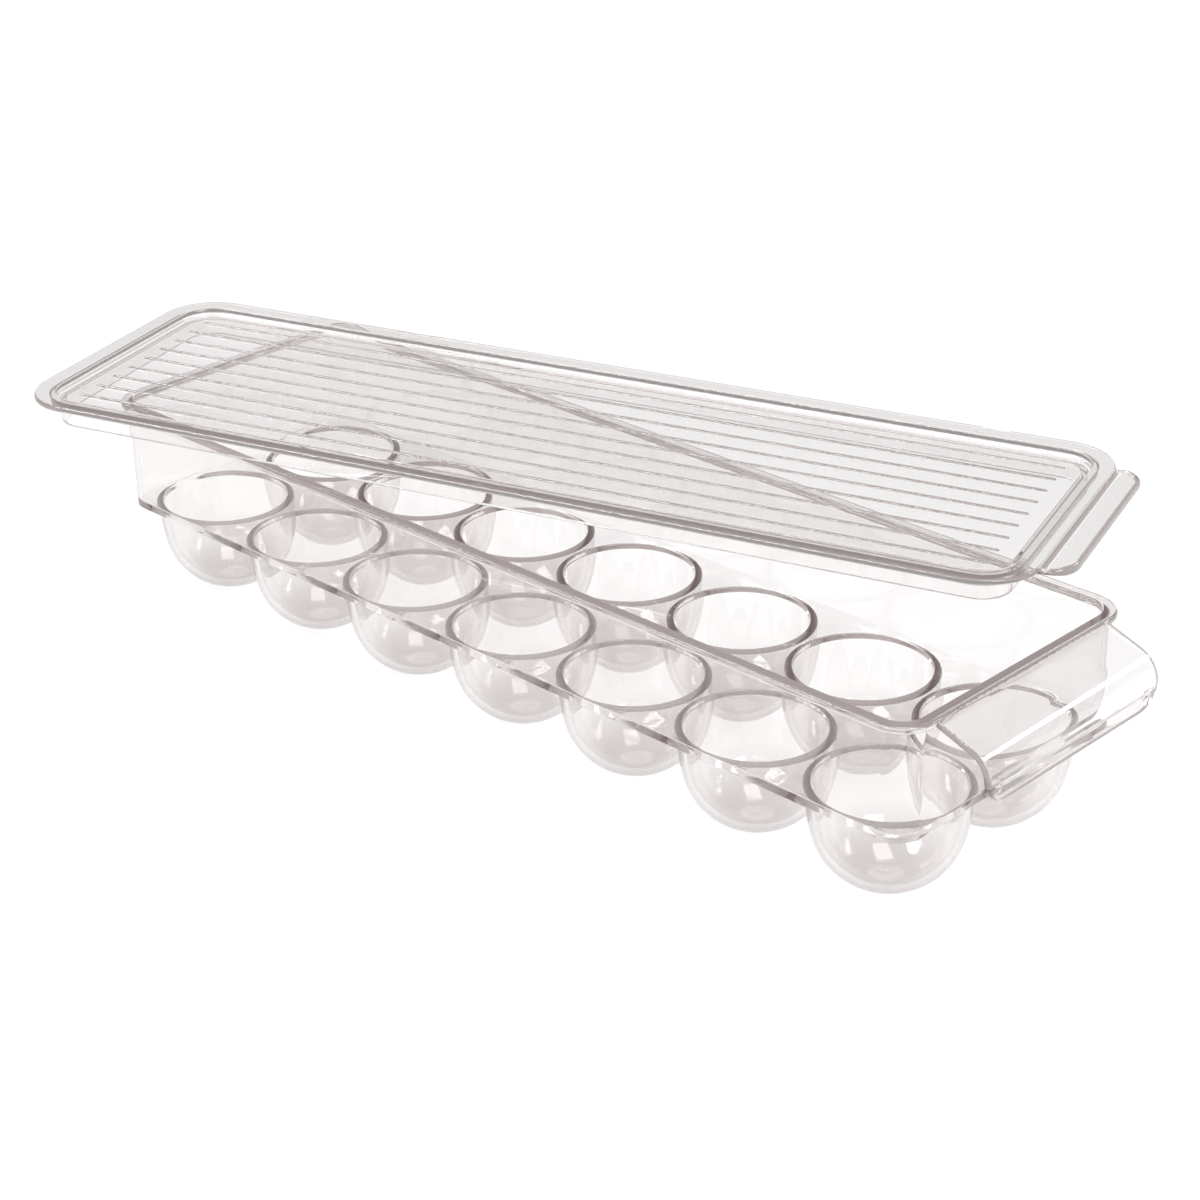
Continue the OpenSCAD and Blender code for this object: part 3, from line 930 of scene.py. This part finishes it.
def build_report(operator, piece):
    """Reports how many faces a piece has, and raises an error if it has none."""
    if not piece.data.polygons:
        raise RuntimeError(piece.name + " came out empty")
    operator.report({"INFO"}, "%s: %d faces" % (piece.name, len(piece.data.polygons)))
    return {"FINISHED"}


class KEEPER_OT_tray(bpy.types.Operator):
    """Builds the tray with its cups and handle as one clear moulding"""

    bl_idname = "keeper.tray"
    bl_label = "Tray with cups and handle"

    def execute(self, context):
        tray, handle, _, plastic, _ = settings()
        piece = add_object("tray_moulding", build_tray_shell(tray))
        join_solids(piece, [add_object("handle_part", build_handle_mesh(tray, handle))], "UNION")
        smooth(piece)
        piece.data.materials.clear()
        piece.data.materials.append(clear_plastic(
            "Clear tray plastic", plastic, plastic.tray_rim, tray.rim_top, TRAY_PAINTED_SHADE, TRAY_WAVES))
        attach(piece, "tray")
        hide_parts(*TRAY_NODES)
        return build_report(self, piece)


class KEEPER_OT_lid(bpy.types.Operator):
    """Builds the ribbed lid with its skirt and pull tab as one clear moulding"""

    bl_idname = "keeper.lid"
    bl_label = "Ribbed lid with pull tab"

    def execute(self, context):
        tray, _, lid, plastic, _ = settings()
        piece = add_object("lid_moulding", build_lid_shell(lid))
        join_solids(piece, [add_object("rib_part", build_rib_mesh(lid)),
                            add_object("tab_part", build_tab_mesh(lid))], "UNION")
        join_solids(piece, [add_object("groove_part", build_groove_mesh(lid))], "DIFFERENCE")
        join_solids(piece, [add_object("bead_part", build_bead_mesh(lid))], "UNION")
        height = tray.rim_top + lid.skirt_depth
        place = Matrix.Translation((lid.shift_x, lid.shift_y, height)) @ Matrix.Rotation(lid.turn, 4, "Z")
        piece.data.transform(place)
        smooth(piece)
        piece.data.materials.clear()
        piece.data.materials.append(clear_plastic(
            "Clear lid plastic", plastic, plastic.lid_rim, height, LID_PAINTED_SHADE, LID_WAVES))
        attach(piece, "lid")
        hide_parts(*LID_NODES)
        return build_report(self, piece)


class KEEPER_OT_stage(bpy.types.Operator):
    """Builds the white floor, the studio light and the camera"""

    bl_idname = "keeper.stage"
    bl_label = "Floor, light and camera"

    def execute(self, context):
        stage = settings()[-1]
        self.floor(stage)
        self.world()
        self.lamps()
        self.camera(stage)
        context.scene.view_settings.view_transform = "Standard"
        return {"FINISHED"}

    def floor(self, stage):
        """A pale matt floor that is seen as white and still takes the shadow."""
        size = stage.floor_size
        mesh = bpy.data.meshes.new("floor")
        corners = [(-size, -size, 0), (size, -size, 0), (size, size, 0), (-size, size, 0)]
        mesh.from_pydata(corners, [], [(0, 1, 2, 3)])
        floor = add_object("studio_floor", mesh)
        material = bpy.data.materials.new("Studio floor")
        tree = empty_tree(material)
        matt = make_node(tree, "ShaderNodeBsdfPrincipled", in_Base_Color=(*stage.floor_colour, 1.0),
                         in_Roughness=0.9, in_Specular_IOR_Level=0.0)
        glow = make_node(tree, "ShaderNodeEmission", in_Color=WHITE, in_Strength=stage.floor_glow)
        rays = make_node(tree, "ShaderNodeLightPath").outputs
        seen = math_node(tree, "MAXIMUM", rays["Is Camera Ray"], rays["Is Glossy Ray"])
        seen = math_node(tree, "MAXIMUM", seen, rays["Is Transmission Ray"])
        share = math_node(tree, "MULTIPLY", seen, stage.glow_share)
        mix = make_node(tree, "ShaderNodeMixShader", in_Fac=share, in_1=matt.outputs["BSDF"],
                        in_2=glow.outputs["Emission"])
        make_node(tree, "ShaderNodeOutputMaterial", in_Surface=mix.outputs["Shader"])
        mesh.materials.append(material)

    def world(self):
        """A white wall of light near the horizon and a dim room above it."""
        world = bpy.data.worlds.new("Studio room")
        bpy.context.scene.world = world
        tree = empty_tree(world)
        place = make_node(tree, "ShaderNodeTexCoord")
        split = make_node(tree, "ShaderNodeSeparateXYZ", in_Vector=place.outputs["Generated"])
        # full light up to a sine of 0.10 above the horizon, 0.40 of it from 0.24 on
        strength = ramp_node(tree, split.outputs["Z"], 0.10, 0.24, in_To_Min=1.0, in_To_Max=0.40)
        rays = make_node(tree, "ShaderNodeLightPath")
        seen = math_node(tree, "MAXIMUM", rays.outputs["Is Camera Ray"], strength)
        light = make_node(tree, "ShaderNodeBackground", in_Color=WHITE, in_Strength=seen)
        make_node(tree, "ShaderNodeOutputWorld", in_Surface=light.outputs["Background"])

    def lamps(self):
        """Four softboxes, each given with its place, target, width, height and power."""
        for name, place, target, width, height, power in (
                ("Key softbox", (-0.9, -1.3, 2.2), (0, 0, 0.05), 2.4, 0.9, 62.0),
                ("Fill softbox", (1.9, -0.6, 1.6), (0, 0, 0.05), 0.9, 0.9, 18.0),
                ("Back softbox", (1.3, 2.2, 1.6), (0, 0, 0.05), 1.6, 0.35, 16.0),
                ("Top softbox", (0.2, 0.3, 2.6), (0, 0, 0.0), 1.4, 1.0, 18.0)):
            data = bpy.data.lights.new(name, "AREA")
            data.shape = "RECTANGLE"
            data.size, data.size_y = width, height
            data.energy = power
            lamp = bpy.data.objects.new(name, data)
            lamp.location = place
            lamp.rotation_euler = (Vector(target) - Vector(place)).to_track_quat("-Z", "Y").to_euler()
            bpy.context.scene.collection.objects.link(lamp)

    def camera(self, stage):
        """The camera at the photograph's viewing angle."""
        data = bpy.data.cameras.new("Studio camera")
        data.lens = stage.lens
        data.sensor_width = 36.0
        data.sensor_fit = "HORIZONTAL"
        data.clip_start, data.clip_end = 0.01, 60.0
        camera = bpy.data.objects.new("Studio camera", data)
        azimuth, elevation, roll = stage.azimuth, stage.elevation, stage.roll
        back = Vector((math.sin(azimuth) * math.cos(elevation), -math.cos(azimuth) * math.cos(elevation),
                       math.sin(elevation)))
        right = Vector((math.cos(azimuth), math.sin(azimuth), 0.0))
        up = back.cross(right)
        turned = right * math.cos(roll) + up * math.sin(roll)
        upright = up * math.cos(roll) - right * math.sin(roll)
        matrix = Matrix((turned, upright, back)).transposed().to_4x4()
        matrix.translation = Vector(stage.place)
        camera.matrix_world = matrix
        bpy.context.scene.collection.objects.link(camera)
        bpy.context.scene.camera = camera


class KEEPER_PT_panel(bpy.types.Panel):
    """Lists the pieces of the egg keeper"""

    bl_idname = "KEEPER_PT_panel"
    bl_label = "Egg Keeper"
    bl_space_type = "VIEW_3D"
    bl_region_type = "UI"
    bl_category = "Egg Keeper"

    def draw(self, context):
        layout = self.layout
        for operator in (KEEPER_OT_tray, KEEPER_OT_lid, KEEPER_OT_stage):
            layout.operator(operator.bl_idname)
        for group in settings():
            box = layout.box()
            for name in group.__annotations__:
                box.prop(group, name)


CLASSES = (TraySettings, HandleSettings, LidSettings, PlasticSettings, StageSettings,
           KEEPER_OT_tray, KEEPER_OT_lid, KEEPER_OT_stage, KEEPER_PT_panel)
GROUPS = {"keeper_tray": TraySettings, "keeper_handle": HandleSettings, "keeper_lid": LidSettings,
          "keeper_plastic": PlasticSettings, "keeper_stage": StageSettings}


def register():
    for item in CLASSES:
        bpy.utils.register_class(item)
    for name, group in GROUPS.items():
        setattr(bpy.types.Scene, name, bpy.props.PointerProperty(type=group))


def unregister():
    for name in GROUPS:
        delattr(bpy.types.Scene, name)
    for item in reversed(CLASSES):
        bpy.utils.unregister_class(item)


def main():
    """Builds the egg keeper and its stage."""
    register()
    bpy.ops.keeper.tray()
    bpy.ops.keeper.lid()
    bpy.ops.keeper.stage()


if __name__ == "__main__":
    main()
